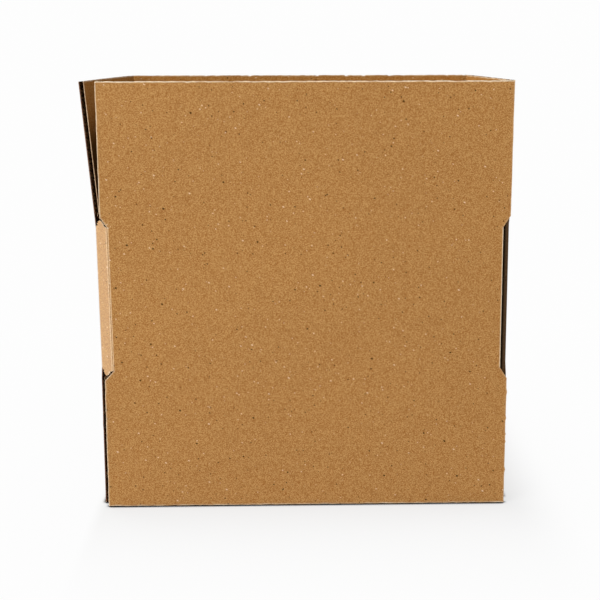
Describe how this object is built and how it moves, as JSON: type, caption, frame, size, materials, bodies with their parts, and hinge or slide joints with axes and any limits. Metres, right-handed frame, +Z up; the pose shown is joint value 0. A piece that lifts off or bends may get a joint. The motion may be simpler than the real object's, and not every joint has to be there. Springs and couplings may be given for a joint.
{
  "type": "open slotted cardboard box",
  "caption": "Small slotted box of single-wall corrugated kraft board, squared up and standing on its open flaps, with a glued side joint and creased flaps that fold.",
  "frame": {"origin": "on the floor under the middle of the whole object's outline", "axes": "+X along the box's length to the right seen from the front, +Y from front to back, +Z up"},
  "size_m": [0.2646, 0.169, 0.2673],
  "materials": {
    "kraft_board": "matte"
  },
  "bodies": {
    "walls": {"wall_sleeve": "kraft_board"},
    "top_front_flap": {"top_front_flap": "kraft_board"},
    "top_back_flap": {"top_back_flap": "kraft_board"},
    "top_left_flap": {"top_left_flap": "kraft_board"},
    "top_right_flap": {"top_right_flap": "kraft_board"},
    "bottom_front_flap": {"bottom_front_flap": "kraft_board"},
    "bottom_back_flap": {"bottom_back_flap": "kraft_board"},
    "bottom_left_flap": {"bottom_left_flap": "kraft_board"},
    "bottom_right_flap": {"bottom_right_flap": "kraft_board"}
  },
  "joints": [
    {"name": "top_front_flap_crease", "type": "hinge", "parent": "walls", "child": "top_front_flap", "pos_m": [0.00294, -0.08234, 0.185], "axis": [1, 0, 0], "range_deg": [0, 124.5]},
    {"name": "top_back_flap_crease", "type": "hinge", "parent": "walls", "child": "top_back_flap", "pos_m": [0.00294, 0.08406, 0.185], "axis": [-1, 0, 0], "range_deg": [0, 125.7]},
    {"name": "top_left_flap_crease", "type": "hinge", "parent": "walls", "child": "top_left_flap", "pos_m": [-0.12526, 0.00086, 0.185], "axis": [0, -1, 0], "range_deg": [-94.4, 121.1]},
    {"name": "top_right_flap_crease", "type": "hinge", "parent": "walls", "child": "top_right_flap", "pos_m": [0.13114, 0.00086, 0.185], "axis": [0, 1, 0], "range_deg": [-90.3, 125.2]},
    {"name": "bottom_front_flap_crease", "type": "hinge", "parent": "walls", "child": "bottom_front_flap", "pos_m": [0.00294, -0.08234, 0.0822], "axis": [-1, 0, 0], "range_deg": [0, 126]},
    {"name": "bottom_back_flap_crease", "type": "hinge", "parent": "walls", "child": "bottom_back_flap", "pos_m": [0.00294, 0.08406, 0.0822], "axis": [1, 0, 0], "range_deg": [0, 126]},
    {"name": "bottom_left_flap_crease", "type": "hinge", "parent": "walls", "child": "bottom_left_flap", "pos_m": [-0.12526, 0.00086, 0.0822], "axis": [0, 1, 0], "range_deg": [-89.5, 126]},
    {"name": "bottom_right_flap_crease", "type": "hinge", "parent": "walls", "child": "bottom_right_flap", "pos_m": [0.13114, 0.00086, 0.0822], "axis": [0, -1, 0], "range_deg": [-89.5, 126]}
  ]
}
